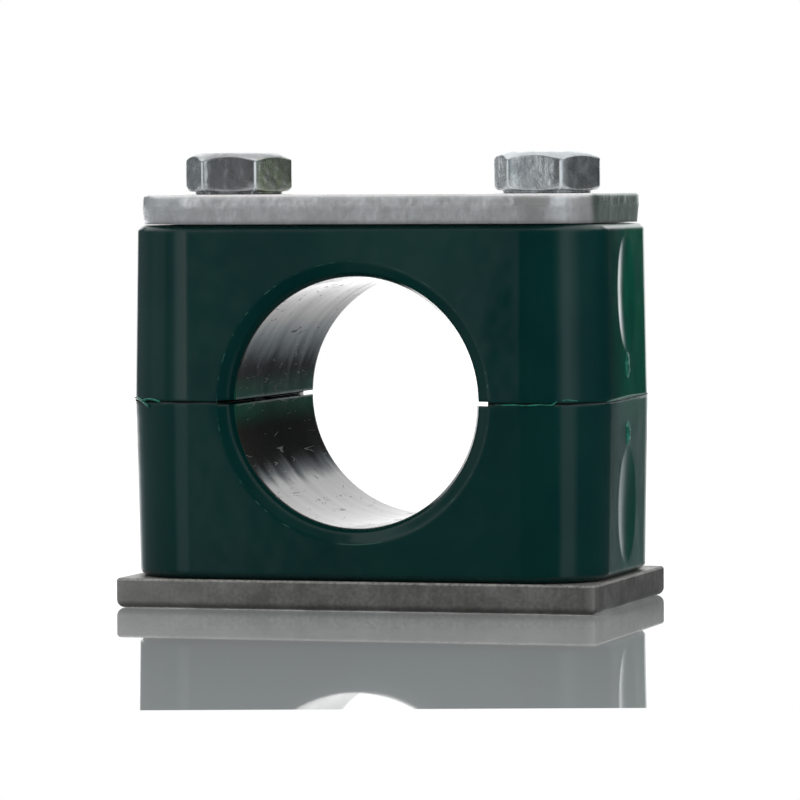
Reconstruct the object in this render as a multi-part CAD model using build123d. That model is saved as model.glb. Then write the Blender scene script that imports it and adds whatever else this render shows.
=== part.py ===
from build123d import *

import os
from math import cos, radians, sin, sqrt, tan

# Light-series tube clamp for one 25.4 mm tube.
#
# Two identical moulded polypropylene halves close round the tube. The lower half
# sits on a steel weld plate whose drawn, threaded collars rise into it. A punched
# cover plate lies on the upper half, and two M6 hexagon screws pass through cover
# plate and halves into the collars, one on each side of the bore.
#
# Frame: X runs along the plates, Y along the bore, Z up. The origin is the centre
# of the weld plate's underside. Lengths are in millimetres, angles in degrees.
#

# Tube
TUBE_DIAMETER = 25.4

# Clamp half: its widest section is at the parting plane
BODY_LENGTH = 50.0
BODY_DEPTH = 30.0
HALF_HEIGHT = 18.0
BODY_CORNER_RADIUS = 7.5
DRAFT = 1.0
FACE_EDGE_CHAMFER = 0.62
FACE_EDGE_SECOND_CHAMFER = 0.22
BORE_MOUTH_RADIUS = 1.5
BORE_MOUTH_CREASE = 0.012  # how far the rounding stops short of running flush
BORE_MOUTH_STEPS = (90, 135, 180)
BORE_LEDGE_WIDTH = 1.5
BORE_LEDGE_DEPTH = 0.22
SCREW_TO_END = 8.5
RECESS_CHAMFER = 0.4
END_RELIEF_LENGTH = 7.0  # over this length the outer face falls away towards each end
END_RELIEF_DEPTH = 0.14

# Upright shrinkage dish and gate scar on the ends of a half
SINK_TO_OUTER_FACE = 7.2
SINK_DEPTH = 0.24
SINK_ACROSS_RADIUS = 28.0
SINK_UPRIGHT_RADIUS = 74.0
SINK_SWEEP = 9.0  # how far the dish's tool turns each way, to clear the face
GATE_HEIGHT = 3.5  # above the parting plane
GATE_WIDTH = 1.0
GATE_LENGTH = 2.2
GATE_DEPTH = 0.12

# Weld plate with drawn collars
WELD_END_OVERHANG = 0.25
WELD_SIDE_OVERHANG = 0.0
WELD_PLATE_THICKNESS = 3.0
WELD_CORNER_RADIUS = 0.8
WELD_DIE_ROLL = 0.8
WELD_TOP_EDGE_CHAMFER = 0.2
COLLAR_DIAMETER = 11.0
COLLAR_HEIGHT = 3.5
COLLAR_SIDE_CLEARANCE = 0.4
COLLAR_TOP_CLEARANCE = 0.7
COLLAR_LIP_CHAMFER = 0.5
DRAWN_ENTRY_CHAMFER = 1.0

# Cover plate, punched from above: a straight sheared band, then a torn, tapering one
COVER_END_SETBACK = 1.0
COVER_SIDE_SETBACK = 0.0
COVER_PLATE_THICKNESS = 3.0
COVER_CORNER_RADIUS = 7.0
SHEARED_BAND = 1.15
TEAR_ANGLE = 5.5
COVER_DIE_ROLL = 0.25

# M6 hexagon screw and the clearances of what it passes through
THREAD_DIAMETER = 5.9
THREAD_CLEARANCE = 0.05
BODY_HOLE_CLEARANCE = 0.35
COVER_HOLE_CLEARANCE = 0.55
TIP_SETBACK = 2.0  # the tip stops this far above the weld plate's underside
TIP_CHAMFER = 0.7
ACROSS_FLATS = 10.0
CORNER_TRIM = 0.17
HEAD_HEIGHT = 4.3
WASHER_FACE_INSET = 0.5
WASHER_FACE_HEIGHT = 0.3
HEAD_TOP_INSET = 0.7
HEAD_TOP_SLOPE = 30.0
HEAD_FOOT_OUTSET = 0.15
HEAD_FOOT_SLOPE = 35.0
LEFT_HEAD_TURN = 4.9
RIGHT_HEAD_TURN = -1.3

# Sizes that follow from the ones above
SCREW_SPACING = BODY_LENGTH - 2 * SCREW_TO_END
WELD_PLATE_LENGTH = BODY_LENGTH + 2 * WELD_END_OVERHANG
WELD_PLATE_WIDTH = BODY_DEPTH + 2 * WELD_SIDE_OVERHANG
COVER_PLATE_LENGTH = BODY_LENGTH - 2 * COVER_END_SETBACK
COVER_PLATE_WIDTH = BODY_DEPTH - 2 * COVER_SIDE_SETBACK
PARTING_HEIGHT = WELD_PLATE_THICKNESS + HALF_HEIGHT
COVER_HEIGHT = PARTING_HEIGHT + HALF_HEIGHT
HEAD_SEAT_HEIGHT = COVER_HEIGHT + COVER_PLATE_THICKNESS
SCREW_LENGTH = HEAD_SEAT_HEIGHT - TIP_SETBACK
SINK_HEIGHT = HALF_HEIGHT - SINK_TO_OUTER_FACE

SCREW_PLACES = [(-SCREW_SPACING / 2, 0), (SCREW_SPACING / 2, 0)]
TOOL = 1.0  # how far a cutting tool runs past the faces it cuts
SAME_PLANE = 0.0001


def edges_at_height(part, height):
    """The edges of part that lie wholly in the plane Z = height."""
    return part.edges().filter_by_position(Axis.Z, height - SAME_PLANE, height + SAME_PLANE)


def drafted_block():
    """The outside of a half: rounded in plan and drafted away from the parting plane."""
    outline = RectangleRounded(BODY_LENGTH, BODY_DEPTH, BODY_CORNER_RADIUS)
    block = extrude(outline, HALF_HEIGHT, taper=DRAFT)
    block = chamfer(edges_at_height(block, HALF_HEIGHT), FACE_EDGE_CHAMFER)
    return chamfer(edges_at_height(block, HALF_HEIGHT), FACE_EDGE_SECOND_CHAMFER)


def end_plane(side, height):
    """The plane of a drafted end face, at a height above the parting plane, facing out."""
    inset = height * tan(radians(DRAFT))
    outward = Vector(side * cos(radians(DRAFT)), 0, sin(radians(DRAFT)))
    return Plane(
        origin=(side * (BODY_LENGTH / 2 - inset), 0, height),
        x_dir=(0, side, 0),
        z_dir=outward,
    )


def end_relief(side):
    """The wedge by which the outer face has drawn in at one end."""
    start = BODY_LENGTH / 2 - END_RELIEF_LENGTH
    end = BODY_LENGTH / 2 + TOOL
    fall = END_RELIEF_DEPTH * (end - start) / END_RELIEF_LENGTH
    section = Plane.XZ * Polyline(
        (side * start, HALF_HEIGHT),
        (side * end, HALF_HEIGHT - fall),
        (side * end, HALF_HEIGHT + TOOL),
        (side * start, HALF_HEIGHT + TOOL),
        close=True,
    )
    return extrude(make_face(section), BODY_DEPTH / 2 + TOOL, both=True)


def sink_dish(side):
    """What an end face loses where the thick corner of the moulding has shrunk."""
    centre_height = SINK_ACROSS_RADIUS - SINK_DEPTH
    half_width = sqrt(SINK_ACROSS_RADIUS**2 - (centre_height - TOOL) ** 2)
    bow = ThreePointArc((-half_width, TOOL), (0, -SINK_DEPTH), (half_width, TOOL))
    section = make_face(Plane.XZ * (bow + Line((half_width, TOOL), (-half_width, TOOL))))
    axis = Axis((0, 0, SINK_UPRIGHT_RADIUS - SINK_DEPTH), (1, 0, 0))
    tool = revolve(section.rotate(axis, -SINK_SWEEP), axis, 2 * SINK_SWEEP)
    return end_plane(side, SINK_HEIGHT) * tool


def gate_scar():
    """The shallow slot that the broken-off gate leaves on one end of a half."""
    outline = end_plane(1, GATE_HEIGHT) * SlotOverall(GATE_LENGTH, GATE_WIDTH, rotation=90)
    return extrude(outline, GATE_DEPTH, both=True)


def bore_mouth(side):
    """The softened edge where the bore meets a side face: two cones that follow a round,
    turned about that drafted face's normal."""
    middle_radius = TUBE_DIAMETER / 2 + BORE_MOUTH_RADIUS - BORE_MOUTH_CREASE
    middle_depth = -BORE_MOUTH_RADIUS
    outline = [(middle_radius, TOOL)]
    for angle in BORE_MOUTH_STEPS:
        away = BORE_MOUTH_RADIUS * cos(radians(angle))
        up = BORE_MOUTH_RADIUS * sin(radians(angle))
        outline.append((middle_radius + away, middle_depth + up))
    outline += [(0, middle_depth), (0, TOOL)]
    tool = revolve(make_face(Plane.XZ * Polyline(*outline, close=True)), Axis.Z)
    outward = Vector(0, side * cos(radians(DRAFT)), sin(radians(DRAFT)))
    return Plane(origin=(0, side * BODY_DEPTH / 2, 0), x_dir=(1, 0, 0), z_dir=outward) * tool


def clamp_half():
    """One half, parting plane at Z = 0 and outer face up, with its bore along Y."""
    half = drafted_block()
    half -= Cylinder(TUBE_DIAMETER / 2, 2 * BODY_DEPTH, rotation=(90, 0, 0))
    for side in (-1, 1):
        half -= bore_mouth(side)
        half -= sink_dish(side)
        half -= end_relief(side)
    half -= Box(
        TUBE_DIAMETER + 2 * BORE_LEDGE_WIDTH,
        BODY_DEPTH + 2 * TOOL,
        2 * BORE_LEDGE_DEPTH,
    )
    half -= gate_scar()
    for x, y in SCREW_PLACES:
        half -= Pos(x, y, 0) * screw_passage()
    return half


def screw_passage():
    """What a screw and its collar take out of a half: hole, recess and lead-in as one tool."""
    hole_radius = THREAD_DIAMETER / 2 + BODY_HOLE_CLEARANCE
    recess_radius = COLLAR_DIAMETER / 2 + COLLAR_SIDE_CLEARANCE
    recess_floor = HALF_HEIGHT - COLLAR_HEIGHT - COLLAR_TOP_CLEARANCE
    section = Plane.XZ * Polyline(
        (0, -TOOL),
        (hole_radius, -TOOL),
        (hole_radius, recess_floor),
        (recess_radius, recess_floor),
        (recess_radius, HALF_HEIGHT - RECESS_CHAMFER),
        (recess_radius + RECESS_CHAMFER + TOOL, HALF_HEIGHT + TOOL),
        (0, HALF_HEIGHT + TOOL),
        close=True,
    )
    return revolve(make_face(section), Axis.Z)


def lower_clamp_half():
    """The half that sits on the weld plate: the same moulding, turned over about X."""
    return Pos(0, 0, PARTING_HEIGHT) * Rot(180, 0, 0) * clamp_half()


def upper_clamp_half():
    """The half under the cover plate."""
    return Pos(0, 0, PARTING_HEIGHT) * clamp_half()


def weld_plate():
    """Sheared steel plate with two collars drawn up out of it for the screws' threads."""
    blank = extrude(
        RectangleRounded(WELD_PLATE_LENGTH, WELD_PLATE_WIDTH, WELD_CORNER_RADIUS),
        WELD_PLATE_THICKNESS,
    )
    blank = fillet(edges_at_height(blank, 0), WELD_DIE_ROLL)
    blank = chamfer(edges_at_height(blank, WELD_PLATE_THICKNESS), WELD_TOP_EDGE_CHAMFER)
    collar_top = WELD_PLATE_THICKNESS + COLLAR_HEIGHT
    hole_radius = THREAD_DIAMETER / 2 + THREAD_CLEARANCE
    for x, y in SCREW_PLACES:
        collar = Pos(x, y, collar_top / 2) * Cylinder(COLLAR_DIAMETER / 2, collar_top)
        blank += collar
    blank = chamfer(edges_at_height(blank, collar_top), COLLAR_LIP_CHAMFER)
    for x, y in SCREW_PLACES:
        blank -= Pos(x, y, collar_top / 2) * Cylinder(hole_radius, collar_top + 2 * TOOL)
    underside_rings = edges_at_height(blank, 0).filter_by(GeomType.CIRCLE)
    entries = underside_rings.sort_by(SortBy.LENGTH)[-len(SCREW_PLACES) :]
    return chamfer(entries, DRAWN_ENTRY_CHAMFER)


def cover_plate():
    """Punched plate: die roll and straight shear above, torn taper below."""
    sheared_foot = COVER_HEIGHT + COVER_PLATE_THICKNESS - SHEARED_BAND
    outline = RectangleRounded(COVER_PLATE_LENGTH, COVER_PLATE_WIDTH, COVER_CORNER_RADIUS)
    sheared = extrude(Pos(0, 0, sheared_foot) * outline, SHEARED_BAND)
    torn = extrude(
        Pos(0, 0, sheared_foot) * outline,
        -(COVER_PLATE_THICKNESS - SHEARED_BAND),
        taper=TEAR_ANGLE,
    )
    plate = sheared + torn
    plate = chamfer(edges_at_height(plate, HEAD_SEAT_HEIGHT), COVER_DIE_ROLL)
    hole_radius = THREAD_DIAMETER / 2 + COVER_HOLE_CLEARANCE
    for x, y in SCREW_PLACES:
        plate -= Pos(x, y, COVER_HEIGHT) * Cylinder(hole_radius, 3 * COVER_PLATE_THICKNESS)
    return plate


def hexagon_head():
    """The head alone, washer face at Z = 0 and a flat facing -Y."""
    hexagon = RegularPolygon(ACROSS_FLATS / 2, side_count=6, major_radius=False, rotation=30)
    wrench_height = HEAD_HEIGHT - WASHER_FACE_HEIGHT
    prism = extrude(Pos(0, 0, WASHER_FACE_HEIGHT) * hexagon, wrench_height)
    flat_radius = ACROSS_FLATS / 2
    corner_radius = flat_radius / cos(radians(30)) - CORNER_TRIM
    top_radius = flat_radius - HEAD_TOP_INSET
    foot_radius = flat_radius + HEAD_FOOT_OUTSET
    top_drop = (corner_radius - top_radius) * tan(radians(HEAD_TOP_SLOPE))
    foot_rise = (corner_radius - foot_radius) * tan(radians(HEAD_FOOT_SLOPE))
    turned = Plane.XZ * Polyline(
        (0, WASHER_FACE_HEIGHT),
        (foot_radius, WASHER_FACE_HEIGHT),
        (corner_radius, WASHER_FACE_HEIGHT + foot_rise),
        (corner_radius, HEAD_HEIGHT - top_drop),
        (top_radius, HEAD_HEIGHT),
        (0, HEAD_HEIGHT),
        close=True,
    )
    wrench_part = prism & revolve(make_face(turned), Axis.Z)
    washer_face = Pos(0, 0, WASHER_FACE_HEIGHT / 2) * Cylinder(
        flat_radius - WASHER_FACE_INSET, WASHER_FACE_HEIGHT
    )
    return wrench_part + washer_face


def hex_screw(x, head_turn):
    """A screw in its place, its head turned about its own axis."""
    screw = hexagon_head()
    screw += Pos(0, 0, -SCREW_LENGTH / 2) * Cylinder(THREAD_DIAMETER / 2, SCREW_LENGTH)
    tip = edges_at_height(screw, -SCREW_LENGTH)
    screw = chamfer(tip, TIP_CHAMFER)
    return Pos(x, 0, HEAD_SEAT_HEIGHT) * Rot(0, 0, head_turn) * screw


def main():
    os.makedirs("parts", exist_ok=True)
    pieces = {
        "weld_plate": weld_plate(),
        "lower_clamp_half": lower_clamp_half(),
        "upper_clamp_half": upper_clamp_half(),
        "cover_plate": cover_plate(),
        "left_bolt": hex_screw(SCREW_PLACES[0][0], LEFT_HEAD_TURN),
        "right_bolt": hex_screw(SCREW_PLACES[1][0], RIGHT_HEAD_TURN),
    }
    for name, piece in pieces.items():
        export_step(piece, f"parts/{name}.step")


main()
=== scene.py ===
"""Looks of the tube clamp: materials, threaded bolts, moulding flash, camera and studio.

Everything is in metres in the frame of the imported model: X along the plates, Y along
the bore, Z up, with the origin at the centre of the weld plate's underside.
"""

import math

import bmesh
import bpy
from mathutils import Matrix, Vector, noise

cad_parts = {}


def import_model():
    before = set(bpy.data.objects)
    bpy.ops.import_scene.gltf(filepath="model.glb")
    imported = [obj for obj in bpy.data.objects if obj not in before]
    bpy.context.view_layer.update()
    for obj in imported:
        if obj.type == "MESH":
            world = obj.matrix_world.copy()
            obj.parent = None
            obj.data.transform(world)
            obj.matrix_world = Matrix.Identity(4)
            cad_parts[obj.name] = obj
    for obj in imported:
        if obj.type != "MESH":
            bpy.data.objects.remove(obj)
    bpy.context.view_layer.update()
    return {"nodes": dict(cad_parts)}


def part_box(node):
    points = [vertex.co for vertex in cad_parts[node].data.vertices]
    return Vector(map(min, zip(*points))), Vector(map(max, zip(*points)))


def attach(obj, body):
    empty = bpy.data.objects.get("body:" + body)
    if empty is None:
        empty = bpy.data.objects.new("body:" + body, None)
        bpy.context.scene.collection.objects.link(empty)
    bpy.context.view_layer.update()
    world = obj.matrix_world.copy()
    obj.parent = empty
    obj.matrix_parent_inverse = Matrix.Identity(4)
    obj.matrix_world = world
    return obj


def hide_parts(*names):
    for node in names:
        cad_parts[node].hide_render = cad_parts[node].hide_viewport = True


MM = 0.001

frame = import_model()
nodes = frame["nodes"]

# Places read from the frame
COVER_LOW, COVER_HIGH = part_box("cover_plate")
HALF_LOW, HALF_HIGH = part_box("lower_clamp_half")
PARTING_Z = HALF_HIGH.z
WELD_TOP = HALF_LOW.z
WELD_HALF_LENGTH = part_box("weld_plate")[1].x
WELD_HALF_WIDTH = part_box("weld_plate")[1].y
HEAD_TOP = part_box("left_bolt")[1].z

# Sizes that more than one section uses
SCREW_X = 16.5 * MM
GATE_RISE = 3.5 * MM  # of a gate's middle from the parting line


# ---------------------------------------------------------------- node helpers


class Shader:
    """A node tree with short calls for adding nodes and joining them."""

    def __init__(self, tree):
        self.tree = tree
        tree.nodes.clear()

    def add(self, kind, inputs=(), **settings):
        """Adds a node. inputs maps a socket's name or index to a value or a socket."""
        node = self.tree.nodes.new(kind)
        for name, value in settings.items():
            setattr(node, name, value)
        for name, value in dict(inputs).items():
            self.put(node.inputs[name], value)
        return node

    def put(self, socket, value):
        if isinstance(value, bpy.types.NodeSocket):
            self.tree.links.new(value, socket)
        else:
            socket.default_value = value

    def math(self, operation, a, b=0.0, c=0.0, clamp=False):
        node = self.add("ShaderNodeMath", {0: a, 1: b, 2: c}, operation=operation)
        node.use_clamp = clamp
        return node.outputs[0]

    def vector(self, operation, a, b=(0, 0, 0)):
        return self.add("ShaderNodeVectorMath", {0: a, 1: b}, operation=operation).outputs[0]

    def ramp(self, value, low, high, out_low=0.0, out_high=1.0):
        """A smooth step from out_low at low to out_high at high."""
        node = self.add(
            "ShaderNodeMapRange",
            {"Value": value, "From Min": low, "From Max": high, "To Min": out_low, "To Max": out_high},
            interpolation_type="SMOOTHSTEP",
        )
        return node.outputs[0]

    def noise(self, vector, scale, detail=2.0, roughness=0.5, distortion=0.0):
        node = self.add(
            "ShaderNodeTexNoise",
            {
                "Vector": vector,
                "Scale": scale,
                "Detail": detail,
                "Roughness": roughness,
                "Distortion": distortion,
            },
        )
        return node.outputs[0]

    def mix(self, factor, a, b, blend_type="MIX"):
        """Mixes two colours."""
        node = self.add("ShaderNodeMix", data_type="RGBA", blend_type=blend_type)
        self.put(node.inputs[0], factor)
        self.put(node.inputs[6], a)
        self.put(node.inputs[7], b)
        return node.outputs[2]

    def place(self):
        """The surface's own place in millimetres: the vector and its three parts."""
        metres = self.add("ShaderNodeTexCoord").outputs["Object"]
        millimetres = self.vector("MULTIPLY", metres, (1000, 1000, 1000))
        parts = self.add("ShaderNodeSeparateXYZ", {0: millimetres}).outputs
        return millimetres, parts[0], parts[1], parts[2]

    def product(self, first, *others):
        for other in others:
            first = self.math("MULTIPLY", first, other)
        return first

    def blend(self, factor, a, b):
        """Mixes two numbers."""
        node = self.add("ShaderNodeMix", {0: factor}, data_type="FLOAT")
        self.put(node.inputs[2], a)
        self.put(node.inputs[3], b)
        return node.outputs[0]

    def bevel(self, radius_mm):
        return self.add("ShaderNodeBevel", {"Radius": radius_mm * MM}, samples=6).outputs[0]

    def combine(self, x, y, z):
        return self.add("ShaderNodeCombineXYZ", {0: x, 1: y, 2: z}).outputs[0]

    def bump(self, height, distance_mm, normal=None):
        """A bump whose height of 1 stands distance_mm proud."""
        inputs = {"Height": height, "Distance": distance_mm * MM, "Strength": 1.0}
        if normal is not None:
            inputs["Normal"] = normal
        return self.add("ShaderNodeBump", inputs).outputs[0]


def new_material(name):
    material = bpy.data.materials.new(name)
    material.use_nodes = True
    return material, Shader(material.node_tree)


def finish_material(shader, **sockets):
    """Ends a material in a Principled shader. Sockets are given with _ for each space."""
    principled = shader.add("ShaderNodeBsdfPrincipled")
    for name, value in sockets.items():
        shader.put(principled.inputs[name.replace("_", " ")], value)
    shader.add("ShaderNodeOutputMaterial", {"Surface": principled.outputs[0]})


def grey(value):
    return (value, value, value, 1)


# ---------------------------------------------------------------- materials


DEEP_GREEN = (0.001, 0.0275, 0.026, 1)
GREEN = (0.002, 0.0335, 0.0295, 1)
# The end faces' lighter green is painted light
END_LIT_GREEN = (0.001, 0.09, 0.052, 1)
TORN_GREEN = (0.01, 0.22, 0.13, 1)
BORE_RADIUS = 12.7
LIP_RADIUS = 14.25
END_SKIN = (23.6, 24.3)  # the distance from the middle over which the ends' skin begins


def clamp_plastic():
    """Dark green moulded polypropylene: glossy, faintly rippled, drawn and scuffed in the bore."""
    material, s = new_material("clamp_plastic")
    place, x, y, z = s.place()
    height = s.math("SUBTRACT", z, PARTING_Z / MM)
    radius = s.math("SQRT", s.math("ADD", s.math("MULTIPLY", x, x), s.math("MULTIPLY", height, height)))
    angle = s.math("ARCTAN2", height, x)
    in_bore = s.ramp(radius, BORE_RADIUS + 0.04, BORE_RADIUS + 0.1, 1.0, 0.0)
    cloud = s.noise(place, 0.09, 3.0)
    colour = s.mix(s.ramp(cloud, 0.35, 0.65), DEEP_GREEN, GREEN)

    # Painted light: the end faces get a lighter, streaked green, less on the lower half and towards the
    # front
    streaked = s.noise(s.vector("MULTIPLY", place, (0.1, 0.55, 0.16)), 1.0, 3.0, 0.55)
    at_end = s.ramp(s.math("ABSOLUTE", x), *END_SKIN)
    painted_end_light = s.math("MULTIPLY", at_end, s.ramp(streaked, 0.32, 0.64, 0.5, 1.0))
    painted_end_light = s.product(painted_end_light, s.ramp(height, -4.0, 2.0, 0.6, 1.0), s.ramp(y, -8.5, 1.0))
    colour = s.mix(painted_end_light, colour, END_LIT_GREEN)

    # Polypropylene thins to a clearer, brighter green at its sheared gates and at the flash
    off_parting = s.math("ABSOLUTE", height)
    gate_y = s.ramp(s.math("ABSOLUTE", y), 0.25, 0.8, 1.0, 0.0)
    off_gate = s.math("ABSOLUTE", s.math("SUBTRACT", off_parting, GATE_RISE / MM))
    gate_z = s.ramp(off_gate, 0.7, 1.4, 1.0, 0.0)
    torn = s.ramp(s.noise(s.vector("MULTIPLY", place, (1, 1.6, 0.9)), 1.1, 4.0, 0.6), 0.42, 0.6)
    gate = s.product(s.ramp(x, 23.0, 24.0), gate_y, gate_z, torn)
    colour = s.mix(s.math("MULTIPLY", gate, 0.85), colour, TORN_GREEN)

    # The two halves meet in a fine dark line, which opens a little towards the back of the end: a shallow
    # groove whose darkness is painted shade in the gap
    seam_rise = s.product(s.ramp(y, -6.0, 12.0, 0.0, 0.3), s.ramp(x, 23.6, 24.6))
    off_seam = s.math("ABSOLUTE", s.math("SUBTRACT", height, seam_rise))
    seam_width = s.ramp(s.noise(place, 0.6, 3.0), 0.35, 0.65, 0.05, 0.12)
    seam_shade = s.ramp(s.math("SUBTRACT", off_seam, seam_width), -0.03, 0.03, 1.0, 0.0)
    seam_shade = s.product(seam_shade, s.ramp(radius, 13.0, 13.6), s.ramp(x, 22.5, 24.5, 1.0, 0.45))
    colour = s.mix(seam_shade, colour, (0.0005, 0.003, 0.0025, 1))

    # Painted highlight: a broken light line round the bore's mouth on the side faces, where the mouth's
    # rounding meets the face
    off_lip = s.math("ABSOLUTE", s.math("SUBTRACT", radius, LIP_RADIUS))
    breaks = s.noise(s.combine(s.math("MULTIPLY", angle, 4.0), height, 2.0), 0.7, 3.0, 0.6)
    on_side_face = s.ramp(s.math("ABSOLUTE", y), 13.9, 14.2)
    mouth_highlight = s.product(s.ramp(off_lip, 0.02, 0.1, 1.0, 0.0), s.ramp(breaks, 0.5, 0.6), on_side_face)
    colour = s.mix(s.math("MULTIPLY", mouth_highlight, 0.8), colour, (0.02, 0.1, 0.075, 1))

    # Bore: slow bands along the bore's way round, fine drawing lines, scuffs and scratches, the scratches
    # painted light grey as painted glints
    turned = s.math("MULTIPLY", angle, BORE_RADIUS)

    def on_bore(along, around, seed, detail, roughness=0.5, distortion=0.0):
        """Noise on the unrolled bore, with its two scales per millimetre."""
        unrolled = s.combine(s.math("MULTIPLY", y, along), s.math("MULTIPLY", turned, around), seed)
        return s.noise(unrolled, 1.0, detail, roughness, distortion)

    slow = on_bore(0.17, 0.03, 0.7, 1.0, 0.4, 0.3)
    fine = on_bore(2.2, 0.09, 0.0, 3.0)
    chatter = on_bore(0.12, 0.8, 3.0, 2.0)
    scuff_field = on_bore(0.55, 1.3, 7.0, 4.0, 0.65, 0.8)
    off_dark_band = s.math("ADD", s.ramp(height, 0.8, 1.6), s.ramp(height, -7.6, -8.4))
    scuff = s.product(s.ramp(scuff_field, 0.65, 0.69), in_bore, off_dark_band)
    contour = s.math("ABSOLUTE", s.math("SUBTRACT", on_bore(0.07, 0.55, 11.0, 1.0), 0.5))
    present = s.ramp(on_bore(0.35, 0.6, 5.0, 2.0), 0.54, 0.6)
    scratch_glint = s.product(s.ramp(contour, 0.002, 0.008, 1.0, 0.0), present, in_bore)
    near_parting = s.ramp(off_parting, 0.5, 3.2, 1.0, 0.0)
    near_parting = s.product(near_parting, in_bore, s.ramp(slow, 0.3, 0.7, 0.7, 1.0))
    colour = s.mix(s.math("MULTIPLY", in_bore, 0.8), colour, (0.034, 0.028, 0.023, 1))
    colour = s.mix(s.math("MULTIPLY", near_parting, 0.95), colour, (0.004, 0.12, 0.07, 1))
    # Real scratches, painted light grey: painted glints
    colour = s.mix(s.math("MULTIPLY", scratch_glint, 0.8), colour, grey(0.2))
    colour = s.mix(scuff, colour, (0.004, 0.004, 0.004, 1))

    wave = s.math("ADD", slow, s.math("MULTIPLY", fine, 0.006))
    wave = s.math("ADD", wave, s.math("MULTIPLY", chatter, 0.05))
    normal = s.bump(s.noise(place, 0.16, 2.0), 0.05, s.bevel(0.55))
    normal = s.bump(s.noise(place, 2.6, 2.0), 0.0006, normal)
    normal = s.bump(s.math("MULTIPLY", wave, in_bore), 0.075, normal)
    normal = s.bump(s.math("MULTIPLY", scuff, -1.0), 0.012, normal)
    normal = s.bump(gate, 0.03, normal)
    normal = s.bump(s.math("MULTIPLY", seam_shade, -1.0), 0.1, normal)
    rough = s.ramp(s.noise(place, 0.5, 4.0), 0.3, 0.7, 0.07, 0.11)
    rough_bore = s.math("ADD", s.ramp(fine, 0.3, 0.75, 0.06, 0.1), s.math("MULTIPLY", near_parting, 0.12))
    rough_bore = s.math("ADD", rough_bore, s.math("MULTIPLY", s.math("MAXIMUM", scuff, scratch_glint), 0.35))
    rough = s.blend(in_bore, rough, rough_bore)
    # The right end's skin is duller on the lower half, most of all near the parting line
    low_end = s.product(s.ramp(height, 0.3, -0.3), s.ramp(height, -13.0, -3.0, 0.08, 0.13))
    dulled = s.math("ADD", s.ramp(height, 8.0, 16.0, 0.0, 0.03), low_end)
    rough = s.math("ADD", rough, s.product(dulled, s.ramp(x, 24.0, 24.5), s.ramp(y, -9.0, -5.0)))
    rough = s.blend(gate, rough, 0.42)
    rough = s.blend(seam_shade, rough, 0.8)
    rough = s.blend(mouth_highlight, rough, 0.35)
    finish_material(s, Base_Color=colour, Roughness=rough, IOR=1.5, Normal=normal)
    return material


def flash_plastic():
    """The same plastic where it is thin: clearer and brighter."""
    material, s = new_material("flash_plastic")
    place = s.place()[0]
    thinness = s.noise(place, 1.6, 3.0, 0.6)
    colour = s.mix(s.ramp(thinness, 0.4, 0.62), (0.004, 0.09, 0.065, 1), (0.015, 0.22, 0.15, 1))
    normal = s.bump(s.noise(place, 4.0, 3.0), 0.02)
    finish_material(s, Base_Color=colour, Roughness=0.3, IOR=1.5, Normal=normal)
    return material


SHEARED_BAND = 1.15


def cover_steel():
    """Bright punched plate: burnished upper band, torn lower band, rolled faces."""
    material, s = new_material("cover_plate_steel")
    place, x, y, z = s.place()
    top = COVER_HIGH.z / MM
    end = COVER_HIGH.x / MM
    sheared_foot = top - SHEARED_BAND
    edge_wander = s.noise(s.vector("MULTIPLY", place, (1, 1, 0.1)), 0.35, 3.0, 0.6)
    up = s.math("ADD", z, s.math("MULTIPLY", edge_wander, 0.9))
    burnished = s.ramp(up, sheared_foot + 0.05, sheared_foot + 0.75)
    on_top = s.ramp(z, top - 0.03, top - 0.005)
    upright = s.combine(x, y, s.math("MULTIPLY", z, 0.2))
    draw_lines = s.noise(upright, 1.6, 4.0, 0.6)
    grain = s.noise(place, 1.7, 5.0, 0.65)
    mottle = s.noise(place, 0.5, 4.0, 0.6)
    tone = s.math("ADD", s.math("MULTIPLY", mottle, 0.45), s.math("MULTIPLY", grain, 0.25))
    tone = s.math("ADD", tone, s.math("MULTIPLY", draw_lines, 0.3))
    dull = s.mix(s.ramp(tone, 0.38, 0.62), (0.7, 0.695, 0.7, 1), (0.88, 0.875, 0.88, 1))
    bright = s.mix(s.ramp(tone, 0.38, 0.62), (0.82, 0.815, 0.82, 1), (0.93, 0.925, 0.93, 1))
    colour = s.mix(burnished, dull, bright)
    # Painted shade, tinted green, on the right end
    painted_end_shade = s.ramp(x, end - 0.5, end - 0.1)
    colour = s.mix(s.product(painted_end_shade, s.math("SUBTRACT", 1.0, on_top), 0.85), colour, (0.12, 0.19, 0.155, 1))
    torn = s.math("SUBTRACT", 1.0, burnished)
    normal = s.bump(s.noise(place, 0.45, 2.0), 0.1, s.bevel(0.8))
    normal = s.bump(draw_lines, 0.01, normal)
    off_painted_end_shade = s.math("SUBTRACT", 1.0, painted_end_shade)
    normal = s.bump(s.product(grain, torn, off_painted_end_shade), 0.04, normal)
    rough = s.blend(burnished, s.ramp(tone, 0.36, 0.64, 0.42, 0.34), s.ramp(tone, 0.36, 0.64, 0.27, 0.2))
    polished = s.product(s.ramp(s.math("ABSOLUTE", x), 15.0, 17.0), s.ramp(y, -9.0, -11.0))
    rough = s.math("SUBTRACT", rough, s.product(polished, s.blend(burnished, 0.04, 0.06)))
    rough = s.math("ADD", rough, s.math("MULTIPLY", on_top, 0.08))
    finish_material(s, Base_Color=colour, Metallic=0.68, Roughness=rough, Normal=normal)
    return material


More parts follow.
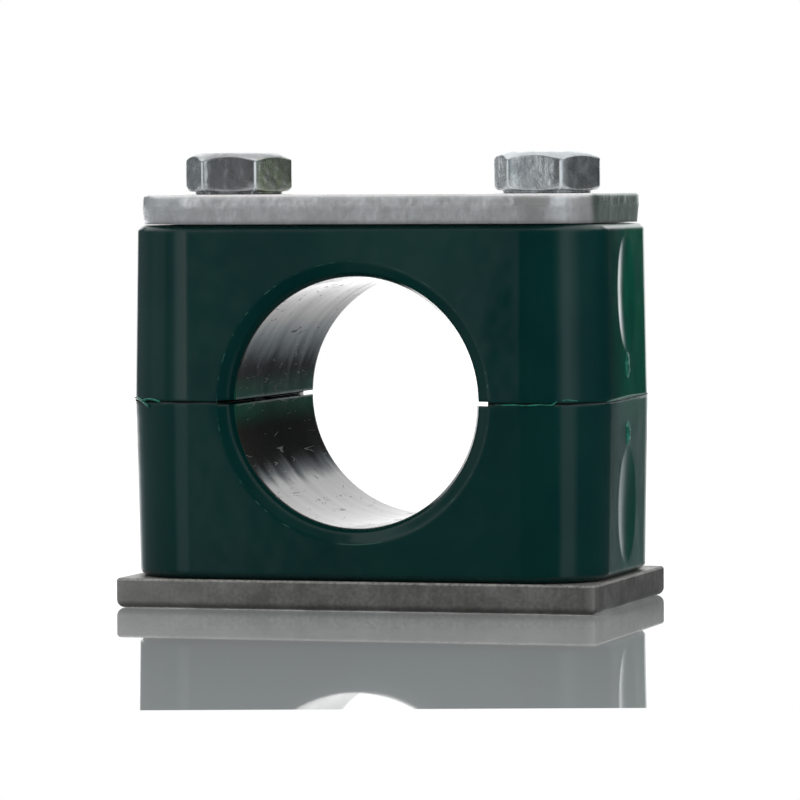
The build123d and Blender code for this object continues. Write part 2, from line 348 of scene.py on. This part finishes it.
def weld_steel():
    """Dark phosphated steel with sheared edges, a brownish cast and worn corners."""
    material, s = new_material("weld_plate_steel")
    place, x, y, z = s.place()
    top = WELD_TOP / MM
    mottle = s.noise(place, 0.3, 4.0, 0.6)
    grain = s.noise(place, 2.4, 4.0, 0.65)
    upright = s.combine(x, y, s.math("MULTIPLY", z, 0.25))
    shear_lines = s.noise(upright, 1.5, 4.0, 0.6)
    tone = s.math("ADD", s.math("MULTIPLY", mottle, 0.65), s.math("MULTIPLY", grain, 0.25))
    tone = s.math("ADD", tone, s.math("MULTIPLY", shear_lines, 0.1))
    colour = s.mix(s.ramp(tone, 0.36, 0.64), (0.165, 0.162, 0.153, 1), (0.29, 0.286, 0.272, 1))
    # Corners and upper edges are rubbed brighter
    to_end = s.math("SUBTRACT", WELD_HALF_LENGTH / MM, s.math("ABSOLUTE", x))
    to_side = s.math("SUBTRACT", WELD_HALF_WIDTH / MM, s.math("ABSOLUTE", y))
    corner = s.ramp(s.math("ADD", to_end, to_side), 0.2, 1.4, 1.0, 0.0)
    upper_edge = s.product(s.ramp(z, top - 0.35, top - 0.12), s.ramp(grain, 0.35, 0.6))
    worn = s.math("MAXIMUM", s.math("MULTIPLY", corner, 0.55), s.math("MULTIPLY", upper_edge, 0.7))
    colour = s.mix(worn, colour, (0.42, 0.415, 0.395, 1))
    # The ends and the foot are darker, and the sides grow lighter to the left, which is painted light
    colour = s.mix(s.ramp(to_end, 0.1, 0.3, 0.4, 0.0), colour, (0.08, 0.079, 0.075, 1))
    on_side = s.ramp(z, top - 0.05, top - 0.25)
    colour = s.mix(s.product(on_side, s.ramp(x, -25.0, -6.0, 0.5, 0.0)), colour, (0.42, 0.413, 0.39, 1))
    foot = s.ramp(z, 0.1, 0.75, 0.55, 0.0)
    colour = s.mix(foot, colour, (0.05, 0.049, 0.047, 1))
    normal = s.bump(s.noise(place, 0.5, 2.0), 0.08)
    normal = s.bump(shear_lines, 0.02, normal)
    normal = s.bump(grain, 0.02, normal)
    rough = s.ramp(tone, 0.36, 0.64, 0.55, 0.42)
    finish_material(s, Base_Color=colour, Metallic=0.5, Roughness=rough, Normal=normal)
    return material


def zinc(name, cast, shade, axis_x, turn, right_reflection):
    """Zinc plate over a forged head: patchy, with fine upright trimming lines, and painted
    highlights along its upright corners. cast and shade are the colours of light and dark
    patches, axis_x and turn say where the bolt stands and how its head is turned, and
    right_reflection is a painted reflection on the head's right side."""
    material, s = new_material(name)
    place, x, y, z = s.place()
    top = HEAD_TOP / MM
    upright = s.combine(x, y, s.math("MULTIPLY", z, 0.16))
    trim_lines = s.noise(upright, 2.2, 4.0, 0.65)
    patches = s.noise(place, 0.75, 4.0, 0.62, 0.4)
    grain = s.noise(place, 4.5, 3.0, 0.6)
    tone = s.math("ADD", s.math("MULTIPLY", patches, 0.7), s.math("MULTIPLY", trim_lines, 0.3))
    colour = s.mix(s.ramp(tone, 0.38, 0.62), shade, cast)
    # Painted shade: the turned cone round the top is greyer than the flats and the top itself
    painted_cone_shade = s.ramp(z, top - 0.75, top - 0.45, 0.0, 0.75)
    below_top = s.ramp(z, top - 0.03, top - 0.01, 1.0, 0.0)
    colour = s.mix(s.math("MULTIPLY", painted_cone_shade, below_top), colour, shade)
    # The angle to the nearest of the hexagon's six upright corners
    off_x = s.math("SUBTRACT", x, axis_x / MM)
    around = s.math("ARCTAN2", y, off_x)
    half_flat = math.pi / 6
    first_flat = turn + math.pi / 2 - 2 * math.pi
    from_corner = s.math("PINGPONG", s.math("SUBTRACT", around, first_flat), half_flat)
    to_corner = s.math("SUBTRACT", half_flat, from_corner)
    on_flats = s.ramp(z, top - 0.8, top - 1.1)
    # Painted highlights: bright lines along the upright corners
    corner_glint = s.ramp(to_corner, 0.01, 0.032, 1.0, 0.0)
    corner_glint = s.product(corner_glint, s.ramp(trim_lines, 0.34, 0.5, 0.45, 1.0), on_flats)
    colour = s.mix(s.math("MULTIPLY", corner_glint, 0.95), colour, (0.92, 0.97, 1, 1))
    # Painted reflection on the head's right side: green on the left bolt, darker grey on the right
    rightward = s.product(s.ramp(off_x, 3.1, 3.5), s.ramp(z, top - 0.4, top - 0.7))
    tint = s.product(rightward, s.math("SUBTRACT", 1.0, corner_glint), s.ramp(tone, 0.4, 0.6, 1.0, 0.55))
    colour = s.mix(tint, colour, right_reflection)
    normal = s.bump(s.noise(place, 0.4, 2.0), 0.12)
    normal = s.bump(trim_lines, 0.012, normal)
    normal = s.bump(grain, 0.004, normal)
    normal = s.bump(patches, 0.04, normal)
    rough = s.ramp(tone, 0.36, 0.64, 0.3, 0.17)
    metallic = s.blend(corner_glint, 0.85, 0.0)
    finish_material(s, Base_Color=colour, Metallic=metallic, Roughness=rough, Normal=normal)
    return material


def floor_gloss():
    """White acrylic sheet."""
    material, s = new_material("floor_gloss")
    finish_material(s, Base_Color=(0.8, 0.82, 0.825, 1), Roughness=0.02, IOR=1.5, Coat_Weight=0.3)
    return material


def dress(node, material):
    slots = nodes[node].data.materials
    slots.clear()
    slots.append(material)


plastic = clamp_plastic()
dress("lower_clamp_half", plastic)
dress("upper_clamp_half", plastic)
dress("cover_plate", cover_steel())
dress("weld_plate", weld_steel())


# ---------------------------------------------------------------- bolts

ACROSS_FLATS = 10 * MM
CORNER_RADIUS = 5.6 * MM
PITCH = 1.0 * MM
THREAD_RADIUS = 2.95 * MM
THREAD_DEPTH = 0.6 * MM
THREAD_CREST = 0.12  # shares of half the pitch
THREAD_FLANK = 0.74
THREAD_RUN_OUT = 1.5 * PITCH
THREAD_TO_SEAT = 0.5 * MM
TIP_CHAMFER = 0.7 * MM
HEAD_STEPS = 240
THREAD_STEPS = 48
LEVELS_PER_TURN = 12
CORNER_SOFTNESS = 0.2 * MM


def soft_min(a, b, softness):
    """The smaller of two lengths, rounded where they cross."""
    gap = max(softness - abs(a - b), 0) / softness
    return min(a, b) - gap * gap * softness / 4


def head_profile(head_height):
    """(height, turned radius) up a head: washer face, foot cone, corner land, top cone."""
    foot = 0.3 * MM
    return [
        (0.0, 4.2 * MM),
        (0.02 * MM, 4.44 * MM),
        (0.1 * MM, 4.5 * MM),
        (foot - 0.04 * MM, 4.5 * MM),
        (foot, 4.56 * MM),
        (foot, 4.95 * MM),
        (foot + 0.05 * MM, 5.12 * MM),
        (foot + 0.16 * MM, 5.32 * MM),
        (foot + 0.3 * MM, 5.48 * MM),
        (foot + 0.5 * MM, CORNER_RADIUS),
        (foot + 1.2 * MM, CORNER_RADIUS),
        (foot + 2.0 * MM, CORNER_RADIUS),
        (head_height - 1.1 * MM, CORNER_RADIUS),
        (head_height - 0.9 * MM, CORNER_RADIUS),
        (head_height - 0.74 * MM, 5.54 * MM),
        (head_height - 0.6 * MM, 5.34 * MM),
        (head_height - 0.45 * MM, 5.08 * MM),
        (head_height - 0.3 * MM, 4.82 * MM),
        (head_height - 0.16 * MM, 4.56 * MM),
        (head_height - 0.06 * MM, 4.32 * MM),
        (head_height - 0.012 * MM, 4.1 * MM),
        (head_height, 3.8 * MM),
        (head_height, 2.6 * MM),
        (head_height, 1.2 * MM),
    ]


def head_ring(turned_radius, turn):
    """The section of the head at one height: a hexagon trimmed to the turned radius."""
    points = []
    for step in range(HEAD_STEPS):
        angle = 2 * math.pi * step / HEAD_STEPS
        from_flat = (angle - turn + math.pi / 2 + math.pi / 6) % (math.pi / 3) - math.pi / 6
        flat = ACROSS_FLATS / 2 / math.cos(from_flat)
        radius = soft_min(flat, turned_radius, CORNER_SOFTNESS)
        points.append((radius * math.cos(angle), radius * math.sin(angle)))
    return points


def bridge(bm, lower, upper):
    """Quads between two closed rings of equally many vertices."""
    count = len(lower)
    for i in range(count):
        j = (i + 1) % count
        bm.faces.new((lower[i], lower[j], upper[j], upper[i]))


def thread_radius(angle, z, top, tip):
    """The radius of a right-hand 60 degree thread with rounded crests and roots."""
    phase = (z / PITCH - angle / (2 * math.pi)) % 1.0
    tooth = abs(2 * phase - 1)
    depth = THREAD_DEPTH * min(max((tooth - THREAD_CREST) / THREAD_FLANK, 0), 1)
    run_out = min(max((top - z) / THREAD_RUN_OUT, 0), 1)
    radius = THREAD_RADIUS - depth * run_out
    return min(radius, THREAD_RADIUS - TIP_CHAMFER + (z - tip))


def smooth_piece(bm, name, material):
    """Ends a mesh and puts it in the scene as a smooth piece."""
    bmesh.ops.recalc_face_normals(bm, faces=bm.faces)
    mesh = bpy.data.meshes.new(name)
    bm.to_mesh(mesh)
    bm.free()
    mesh.materials.append(material)
    mesh.shade_smooth()
    piece = bpy.data.objects.new(name, mesh)
    bpy.context.scene.collection.objects.link(piece)
    return piece


def bolt_piece(node, turn, material):
    """A hexagon bolt with a forged head and a cut thread, in place of its CAD node."""
    low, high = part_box(node)
    centre = math.copysign(SCREW_X, low.x + high.x)
    seat = COVER_HIGH.z
    head_height = high.z - seat
    bm = bmesh.new()
    rings = []
    for height, turned in head_profile(head_height):
        ring = [bm.verts.new((centre + px, py, seat + height)) for px, py in head_ring(turned, turn)]
        rings.append(ring)
    for lower, upper in zip(rings, rings[1:]):
        bridge(bm, lower, upper)
    top = bm.verts.new((centre, 0, high.z))
    for i in range(HEAD_STEPS):
        bm.faces.new((rings[-1][i], rings[-1][(i + 1) % HEAD_STEPS], top))
    bm.faces.new(list(reversed(rings[0])))
    thread_top = seat - THREAD_TO_SEAT
    levels = int((seat - low.z) / (PITCH / LEVELS_PER_TURN))
    shank = []
    for level in range(levels + 1):
        z = low.z + (seat - low.z) * level / levels
        ring = []
        for step in range(THREAD_STEPS):
            angle = 2 * math.pi * step / THREAD_STEPS
            radius = thread_radius(angle, z, thread_top, low.z)
            ring.append(bm.verts.new((centre + radius * math.cos(angle), radius * math.sin(angle), z)))
        shank.append(ring)
    for lower, upper in zip(shank, shank[1:]):
        bridge(bm, lower, upper)
    bm.faces.new(list(reversed(shank[0])))
    bm.faces.new(shank[-1])
    piece = smooth_piece(bm, node + "_threaded", material)
    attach(piece, node)
    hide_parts(node)


LEFT_TURN = math.radians(4.9)
RIGHT_TURN = math.radians(-1.3)
# One zinc in two copies: the left bolt's darker colours are painted shade, the right bolt's lighter ones
# painted light
zinc_left_shaded = zinc(
    "zinc_left_shaded", (0.7, 0.72, 0.73, 1), (0.38, 0.4, 0.41, 1), -SCREW_X, LEFT_TURN, (0.29, 0.34, 0.24, 1)
)
zinc_right_lit = zinc(
    "zinc_right_lit", (0.96, 0.99, 1.0, 1), (0.6, 0.64, 0.66, 1), SCREW_X, RIGHT_TURN, (0.33, 0.35, 0.35, 1)
)
bolt_piece("left_bolt", LEFT_TURN, zinc_left_shaded)
bolt_piece("right_bolt", RIGHT_TURN, zinc_right_lit)


# ---------------------------------------------------------------- moulding flash

BODY_HALF_LENGTH = HALF_HIGH.x
BODY_HALF_DEPTH = HALF_HIGH.y
BODY_CORNER_RADIUS = 7.5 * MM
FLASH_SIDES = 10
FLASH_STEPS = 14  # between two knots
FLASH_THINNEST = 0.012  # half thickness in millimetres


def on_perimeter(way):
    """A place on the parting line and the way out there. way runs in millimetres from the
    middle of the front, positive to the right, round the corner to the middle of the end."""
    side = math.copysign(1, way)
    run = abs(way) * MM
    straight = BODY_HALF_LENGTH - BODY_CORNER_RADIUS
    corner = BODY_CORNER_RADIUS * math.pi / 2
    if run < straight:
        return Vector((side * run, -BODY_HALF_DEPTH, PARTING_Z)), Vector((0, -1, 0))
    if run < straight + corner:
        turn = (run - straight) / BODY_CORNER_RADIUS
        out = Vector((side * math.sin(turn), -math.cos(turn), 0))
        centre = Vector((side * straight, BODY_CORNER_RADIUS - BODY_HALF_DEPTH, PARTING_Z))
        return centre + out * BODY_CORNER_RADIUS, out
    along = run - straight - corner
    place = Vector((side * BODY_HALF_LENGTH, BODY_CORNER_RADIUS - BODY_HALF_DEPTH + along, PARTING_Z))
    return place, Vector((side, 0, 0))


def through(knots, share):
    """A smooth (Catmull-Rom) pass through tuples of numbers, share running from 0 to 1."""
    spot = share * (len(knots) - 1)
    i = min(int(spot), len(knots) - 2)
    t = spot - i
    a, b, c, d = (knots[max(i - 1, 0)], knots[i], knots[i + 1], knots[min(i + 2, len(knots) - 1)])
    smooth = []
    for p, q, r, u in zip(a, b, c, d):
        value = 2 * q + (r - p) * t + (2 * p - 5 * q + 4 * r - u) * t * t + (3 * q - p - 3 * r + u) * t**3
        smooth.append(value / 2)
    return smooth


def flash(name, body, knots, material):
    """A thread of flash along the parting line. Each knot gives in millimetres its way round
    the perimeter, its rise above the line, how far it stands out, and its half thickness."""
    steps = FLASH_STEPS * (len(knots) - 1)
    bm = bmesh.new()
    rings = []
    for step in range(steps + 1):
        way, rise, out, half = through(knots, step / steps)
        way_on, rise_on = through(knots, min((step + 1) / steps, 1))[:2]
        way_back, rise_back = through(knots, max((step - 1) / steps, 0))[:2]
        place, outward = on_perimeter(way)
        ahead = on_perimeter(way_on)[0] + Vector((0, 0, rise_on * MM))
        behind = on_perimeter(way_back)[0] + Vector((0, 0, rise_back * MM))
        along = (ahead - behind).normalized()
        across = outward.cross(along).normalized()
        centre = place + Vector((0, 0, rise * MM)) + outward * (out - half) * MM
        ring = []
        for side in range(FLASH_SIDES):
            angle = 2 * math.pi * side / FLASH_SIDES
            offset = outward * math.cos(angle) + across * math.sin(angle)
            ring.append(bm.verts.new(centre + offset * max(half, FLASH_THINNEST) * MM))
        rings.append(ring)
    for lower, upper in zip(rings, rings[1:]):
        bridge(bm, lower, upper)
    bm.faces.new(list(reversed(rings[0])))
    bm.faces.new(rings[-1])
    piece = smooth_piece(bm, name, material)
    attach(piece, body)


thin_plastic = flash_plastic()
flash(
    "left_flash",
    "weld_base",
    [
        (-30.5, 0.06, 0.04, 0.06),
        (-28.0, 0.1, 0.12, 0.1),
        (-25.6, 0.26, 0.17, 0.12),
        (-24.4, 0.22, 0.2, 0.13),
        (-23.4, 0.05, 0.2, 0.13),
        (-22.6, 0.2, 0.22, 0.12),
        (-21.7, 0.24, 0.2, 0.11),
        (-20.9, 0.1, 0.14, 0.1),
        (-20.5, -0.05, 0.06, 0.06),
    ],
    thin_plastic,
)
flash(
    "left_flash_curl",
    "weld_base",
    [
        (-23.6, 0.0, 0.16, 0.07),
        (-23.0, -0.15, 0.2, 0.1),
        (-22.55, -0.32, 0.22, 0.14),
        (-22.3, -0.46, 0.22, 0.15),
        (-22.2, -0.6, 0.16, 0.08),
    ],
    thin_plastic,
)
flash(
    "front_flash",
    "weld_base",
    [
        (14.9, -0.05, 0.02, 0.03),
        (15.6, -0.1, 0.06, 0.06),
        (17.0, -0.07, 0.05, 0.07),
        (18.1, -0.12, 0.06, 0.06),
        (19.4, -0.05, 0.06, 0.08),
        (20.6, -0.08, 0.06, 0.07),
        (21.0, 0.12, 0.08, 0.06),
        (21.25, 0.32, 0.06, 0.05),
    ],
    thin_plastic,
)
flash(
    "corner_flash",
    "clamp_top",
    [
        (21.8, 0.36, 0.02, 0.04),
        (22.3, 0.4, 0.07, 0.08),
        (22.9, 0.34, 0.06, 0.07),
        (23.5, 0.3, 0.02, 0.03),
    ],
    thin_plastic,
)
flash(
    "end_flash",
    "clamp_top",
    [
        (28.0, 0.05, 0.02, 0.05),
        (31.0, 0.16, 0.07, 0.07),
        (34.5, 0.3, 0.1, 0.07),
        (38.5, 0.36, 0.12, 0.06),
        (41.5, 0.33, 0.12, 0.05),
        (43.5, 0.3, 0.05, 0.04),
    ],
    thin_plastic,
)


GATE_HALF_LENGTH = 1.3 * MM
GATE_HALF_WIDTH = 0.95 * MM
GATE_PROUD = 0.2 * MM
GATE_SUNK = 0.02 * MM
GATE_THICKNESS = 0.1 * MM
GATE_WANDER = 0.35 * MM
GATE_ROWS = 22
GATE_COLUMNS = 12
DRAFT = math.radians(1)


def gate_stub(name, body, direction, material):
    """The torn-off stub of a gate on the right end, above or below the parting line."""
    bm = bmesh.new()
    grid = []
    for row in range(GATE_ROWS + 1):
        along = 2 * row / GATE_ROWS - 1
        line = []
        for column in range(GATE_COLUMNS + 1):
            across = 2 * column / GATE_COLUMNS - 1
            rise = GATE_RISE + along * GATE_HALF_LENGTH
            wander = noise.noise(Vector((along * 2.2, direction * 3.0, 1.5))) * GATE_WANDER
            width = GATE_HALF_WIDTH * (1 - along * along * 0.85) ** 0.5
            width *= 1 + 0.45 * noise.noise(Vector((along * 4, direction * 5, 0)))
            dome = max(1 - across * across, 0) * max(1 - along * along, 0)
            torn = 0.6 + 0.7 * noise.noise(Vector((along * 4, across * 2, direction * 7)))
            face = BODY_HALF_LENGTH - rise * math.tan(DRAFT)
            x = face - GATE_SUNK + GATE_PROUD * dome**0.6 * max(torn, 0.1)
            line.append(bm.verts.new((x, wander + across * width, PARTING_Z + direction * rise)))
        grid.append(line)
    for lower, upper in zip(grid, grid[1:]):
        for i in range(GATE_COLUMNS):
            bm.faces.new((lower[i], lower[i + 1], upper[i + 1], upper[i]))
    piece = smooth_piece(bm, name, material)
    thick = piece.modifiers.new("thick", "SOLIDIFY")
    thick.thickness = GATE_THICKNESS
    thick.offset = -1
    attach(piece, body)


gate_stub("upper_gate", "clamp_top", 1, thin_plastic)
gate_stub("lower_gate", "weld_base", -1, thin_plastic)


# ---------------------------------------------------------------- camera

YAW = math.radians(16.01)
PITCH_DOWN = math.radians(2.24)
ROLL = math.radians(-0.27)
VIEW_DISTANCE = 0.5737
TARGET = Vector((0, 0, 20 * MM))
SIDE_SHIFT = 0.74 * MM
RISE = 0.75 * MM
FOCAL_LENGTH = 250.4


def camera():
    forward = Vector(
        (
            -math.sin(YAW) * math.cos(PITCH_DOWN),
            math.cos(YAW) * math.cos(PITCH_DOWN),
            -math.sin(PITCH_DOWN),
        )
    )
    right = Vector((math.cos(YAW), math.sin(YAW), 0))
    up = right.cross(forward)
    rolled_right = right * math.cos(ROLL) + up * math.sin(ROLL)
    rolled_up = up * math.cos(ROLL) - right * math.sin(ROLL)
    data = bpy.data.cameras.new("camera")
    data.lens = FOCAL_LENGTH
    data.sensor_width = 36
    data.clip_start = 0.01
    data.clip_end = 20
    thing = bpy.data.objects.new("camera", data)
    place = TARGET - forward * VIEW_DISTANCE + rolled_right * SIDE_SHIFT + rolled_up * RISE
    axes = Matrix((rolled_right, rolled_up, -forward)).transposed()
    thing.matrix_world = Matrix.Translation(place) @ axes.to_4x4()
    bpy.context.scene.collection.objects.link(thing)
    bpy.context.scene.camera = thing


camera()


# ---------------------------------------------------------------- studio


def softbox(name, azimuth, elevation, distance, width, height, radiance):
    """A soft panel facing the clamp, not seen by gloss. Azimuth is from -Y towards +X, in degrees."""
    turn = math.radians(azimuth)
    rise = math.radians(elevation)
    way = Vector((math.sin(turn) * math.cos(rise), -math.cos(turn) * math.cos(rise), math.sin(rise)))
    data = bpy.data.lights.new(name, "AREA")
    data.shape = "RECTANGLE"
    data.size = width
    data.size_y = height
    data.energy = radiance * math.pi * width * height
    light = bpy.data.objects.new(name, data)
    light.location = Vector((0, 0, 25 * MM)) + way * distance
    light.rotation_euler = way.to_track_quat("Z", "Y").to_euler()
    light.visible_glossy = False
    bpy.context.scene.collection.objects.link(light)


# The room round the clamp as gloss sees it: azimuth in degrees from -Y towards +X, and
# radiance. A white sheet hangs behind the clamp, seen from the camera, and soft panels
# stand at both sides of the camera.
WALLS = [
    (-180, 1.5),
    (-146, 1.4),
    (-141, 0.12),
    (-128, 0.12),
    (-112, 0.18),
    (-90, 0.2),
    (-78, 0.3),
    (-60, 0.3),
    (-52, 0.13),
    (-42, 0.2),
    (-34, 0.62),
    (-21.5, 0.84),
    (-18.8, 0.13),
    (-16.4, 0.14),
    (-16.1, 0.4),
    (-15.2, 0.4),
    (-14.9, 0.01),
    (0, 0.03),
    (10, 0.02),
    (38, 0.02),
    (46, 0.2),
    (54, 0.62),
    (62, 0.66),
    (72, 0.42),
    (86, 0.12),
    (115, 0.06),
    (135, 0.015),
    (168.5, 0.02),
    (172, 0.4),
    (175.5, 1.5),
]
# The white floor, which shows whiter the nearer it lies to the sheet
GROUND = [
    (-180, 0.9),
    (-175, 1.05),
    (-169, 1.5),
    (-164, 2.4),
    (-157, 3.2),
    (-145, 3.0),
    (-125, 0.6),
    (-110, 0.25),
    (-40, 0.12),
    (-34, 0.42),
    (-20, 0.45),
    (-17, 0.08),
    (-10, 0.03),
    (45, 0.03),
    (53, 0.42),
    (68, 0.42),
    (80, 0.06),
    (161, 0.05),
    (166, 0.065),
    (168.5, 0.27),
    (173, 0.55),
    (179.5, 0.88),
]
OVERHEAD = 0.95
FRONT_OVERHEAD = 0.1
COOL = (0.88, 0.99, 1.06)  # the tint of everything dimmer than WHITE_FROM
WHITE_FROM = 0.8
AMBIENT = 0.62
# Where one part of the room passes into the next, as the Z of the way looked in
GROUND_FADE = (-0.6, -0.28)
WALL_FOOT = (-0.075, -0.03)
CEILING_GLOW = (0.33, 0.5)
WALL_TOP = (0.5, 0.8)


def azimuth_ramp(s, turn, stops):
    ramp = s.add("ShaderNodeValToRGB", {0: turn})
    marks = ramp.color_ramp.elements
    while len(marks) < len(stops):
        marks.new(0.5)
    for mark, (degrees, radiance) in zip(marks, stops):
        mark.position = degrees / 360 + 0.5
        tint = COOL if radiance < WHITE_FROM else (1, 1, 1)
        mark.color = (radiance * tint[0], radiance * tint[1], radiance * tint[2], 1)
    return ramp.outputs[0]


def world():
    """White to the camera, the room to gloss, and an even light to everything else."""
    sky = bpy.data.worlds.new("studio")
    bpy.context.scene.world = sky
    sky.use_nodes = True
    s = Shader(sky.node_tree)
    way = s.add("ShaderNodeTexCoord").outputs["Generated"]
    x, y, z = s.add("ShaderNodeSeparateXYZ", {0: way}).outputs
    azimuth = s.math("ARCTAN2", x, s.math("MULTIPLY", y, -1.0))
    turn = s.math("ADD", s.math("DIVIDE", azimuth, 2 * math.pi), 0.5)
    walls = azimuth_ramp(s, turn, WALLS)
    ground = azimuth_ramp(s, turn, GROUND)
    ground = s.mix(s.ramp(z, *GROUND_FADE, 0.8, 0.0), ground, grey(0.0))
    room = s.mix(s.ramp(z, *WALL_FOOT), ground, walls)
    overhead = s.mix(s.ramp(y, -0.75, -0.2), grey(FRONT_OVERHEAD), grey(OVERHEAD))
    room = s.mix(s.ramp(z, *CEILING_GLOW), room, overhead, "LIGHTEN")
    room = s.mix(s.ramp(z, *WALL_TOP), room, overhead)
    path = s.add("ShaderNodeLightPath").outputs
    light = s.mix(path["Is Glossy Ray"], grey(AMBIENT), room)
    light = s.mix(path["Is Camera Ray"], light, grey(1.0))
    background = s.add("ShaderNodeBackground", {"Color": light, "Strength": 1.0})
    s.add("ShaderNodeOutputWorld", {"Surface": background.outputs[0]})


FLOOR_LEFT = -450 * MM
FLOOR_RIGHT = 300 * MM
FLOOR_FRONT = -118 * MM
FLOOR_BACK = 600 * MM
FLOOR_Z = -0.02 * MM


def floor():
    """A glossy white sheet that ends a little in front of the clamp."""
    forward = Vector((-math.sin(YAW), math.cos(YAW), 0))
    right = Vector((math.cos(YAW), math.sin(YAW), 0))
    corners = [
        (FLOOR_LEFT, FLOOR_FRONT),
        (FLOOR_RIGHT, FLOOR_FRONT),
        (FLOOR_RIGHT, FLOOR_BACK),
        (FLOOR_LEFT, FLOOR_BACK),
    ]
    mesh = bpy.data.meshes.new("floor")
    mesh.from_pydata([right * a + forward * b for a, b in corners], [], [(0, 1, 2, 3)])
    mesh.materials.append(floor_gloss())
    sheet = bpy.data.objects.new("floor", mesh)
    sheet.location.z = FLOOR_Z
    bpy.context.scene.collection.objects.link(sheet)
    sheet.visible_glossy = False


world()
floor()
softbox("side_fill", azimuth=84, elevation=10, distance=0.7, width=0.5, height=0.5, radiance=1.3)
softbox("top_softbox", azimuth=-30, elevation=72, distance=0.7, width=0.7, height=0.5, radiance=0.9)

bpy.context.scene.view_settings.view_transform = "Standard"
